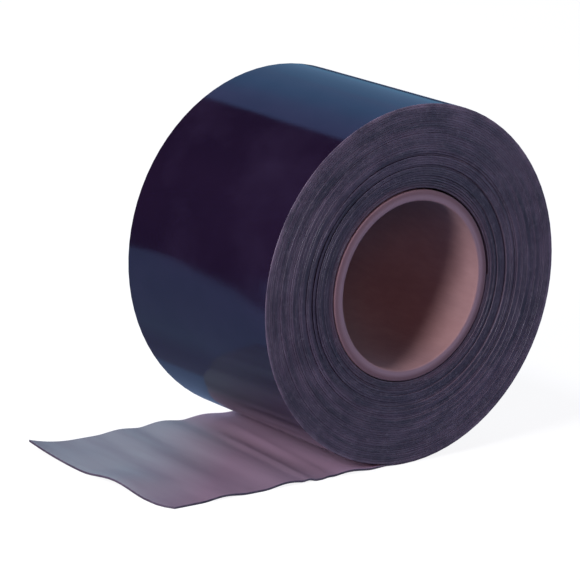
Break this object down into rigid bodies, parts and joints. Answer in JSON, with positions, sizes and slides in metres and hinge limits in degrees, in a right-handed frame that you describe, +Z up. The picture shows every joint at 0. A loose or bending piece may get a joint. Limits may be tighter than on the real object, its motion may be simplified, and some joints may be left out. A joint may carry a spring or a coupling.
{
  "type": "roll of roof repair tape",
  "caption": "Roll of black rubber repair tape on a paper core, resting on its round side with its free end laid out flat.",
  "frame": {"origin": "on the floor, under the centre of the object's box", "axes": "+Z up; the roll's axis runs along Y; the free end of the tape lies along -X"},
  "size_m": [0.213, 0.1024, 0.1628],
  "materials": {
    "rubber_tape": "gloss",
    "paper_core": "matte"
  },
  "bodies": {
    "root": {"core_tube": "paper_core", "tape": "rubber_tape"}
  },
  "joints": []
}
